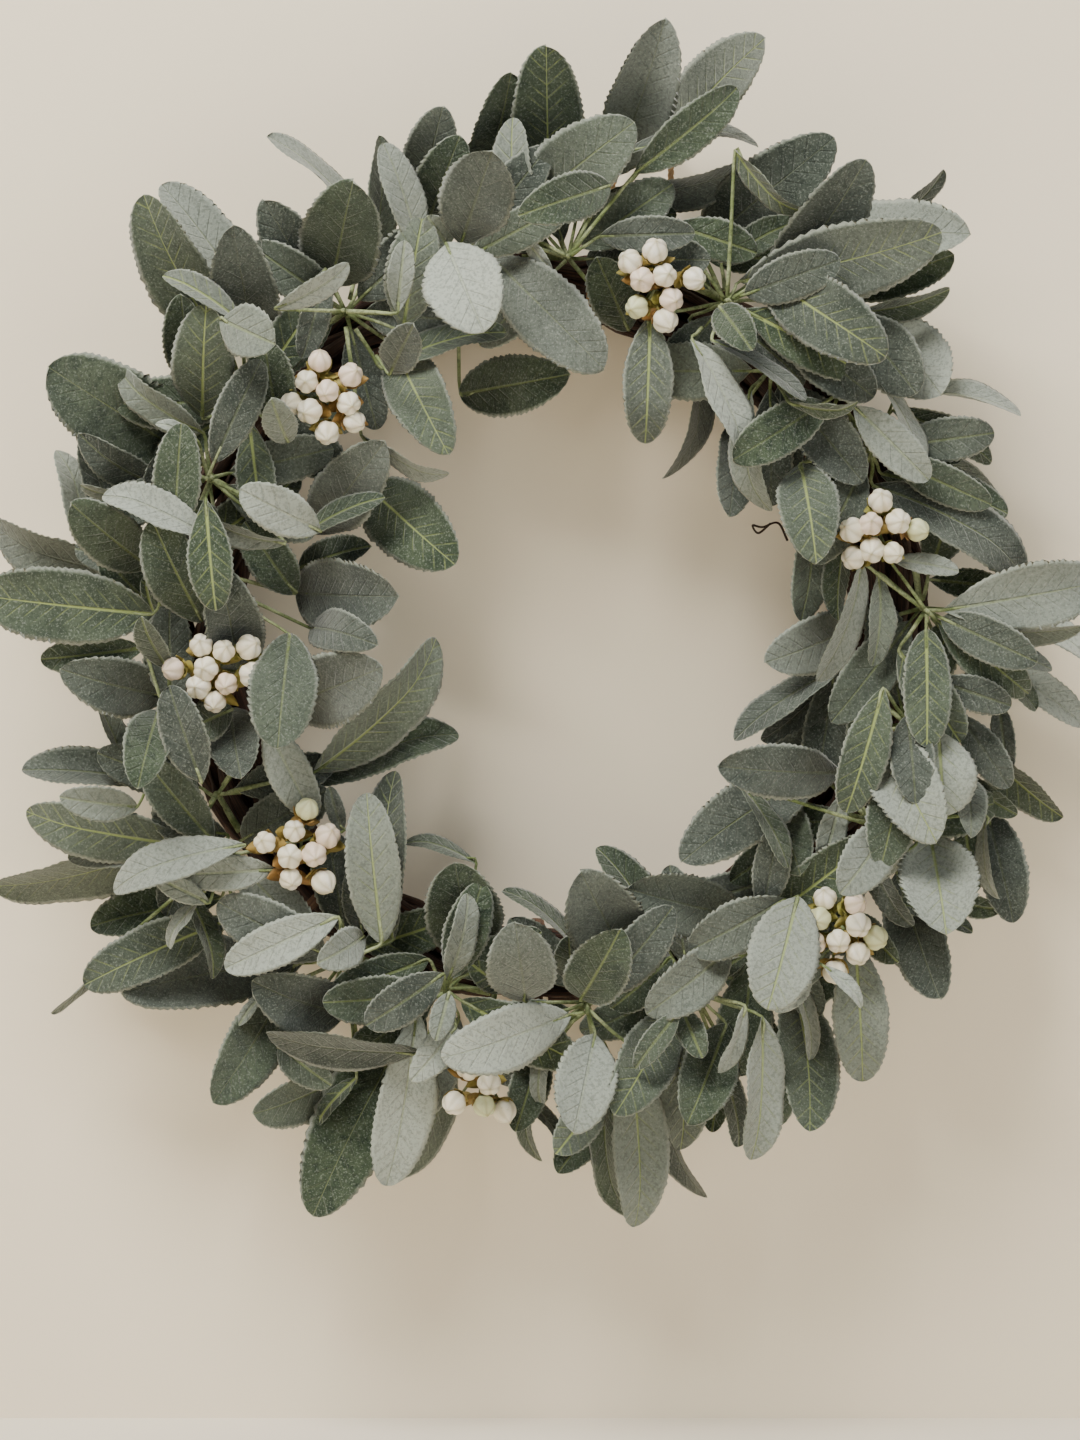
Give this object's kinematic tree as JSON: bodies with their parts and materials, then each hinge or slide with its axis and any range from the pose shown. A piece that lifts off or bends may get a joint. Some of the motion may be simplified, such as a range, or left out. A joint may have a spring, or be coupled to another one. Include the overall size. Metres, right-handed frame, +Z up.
{
  "type": "door wreath",
  "caption": "Round door wreath of felted grey-green leaf sprays and white berry picks on a twisted vine ring, with a twine hanging loop.",
  "frame": {"origin": "where a door hanger's hook bears: under the top of the vine bundle, on the ring's centre plane", "axes": "+Z up, front of the wreath towards -Y, door on the +Y side"},
  "size_m": [0.559, 0.1232, 0.598],
  "materials": {
    "grapevine": "dry bark, dark red-brown",
    "split_vine": "split vine, dry",
    "leaf_felt": "flocked sage grey-green felt",
    "berry": "satin cream white, ribbed",
    "jute": "three-ply jute twine"
  },
  "bodies": {
    "wreath": {"vine_core": "grapevine", "vine_strand_1": "grapevine", "vine_strand_2": "grapevine", "vine_strand_3": "grapevine", "vine_strand_4": "grapevine", "vine_strand_5": "grapevine", "vine_strand_6": "grapevine", "vine_binding_1": "split_vine", "vine_binding_2": "split_vine", "vine_binding_3": "split_vine", "vine_binding_4": "split_vine", "vine_binding_5": "split_vine", "vine_binding_6": "split_vine", "leaf_spray_01": "leaf_felt", "leaf_spray_02": "leaf_felt", "leaf_spray_03": "leaf_felt", "leaf_spray_04": "leaf_felt", "leaf_spray_05": "leaf_felt", "leaf_spray_06": "leaf_felt", "leaf_spray_07": "leaf_felt", "leaf_spray_08": "leaf_felt", "leaf_spray_09": "leaf_felt", "leaf_spray_10": "leaf_felt", "leaf_spray_11": "leaf_felt", "leaf_spray_12": "leaf_felt", "leaf_spray_13": "leaf_felt", "leaf_spray_14": "leaf_felt", "leaf_spray_15": "leaf_felt", "leaf_spray_16": "leaf_felt", "leaf_spray_17": "leaf_felt", "leaf_spray_18": "leaf_felt", "leaf_spray_19": "leaf_felt", "leaf_spray_20": "leaf_felt", "leaf_spray_21": "leaf_felt", "berry_pick_1": "berry", "berry_pick_2": "berry", "berry_pick_3": "berry", "berry_pick_4": "berry", "berry_pick_5": "berry", "berry_pick_6": "berry", "berry_pick_7": "berry"},
    "hanging_loop": {"hanging_loop": "jute"}
  },
  "joints": [
    {"name": "loop_swing", "type": "hinge", "parent": "wreath", "child": "hanging_loop", "pos_m": [0.03639, 0, 0.01738], "axis": [0.9781, 0, -0.2079], "range_deg": [-120, 0]}
  ]
}
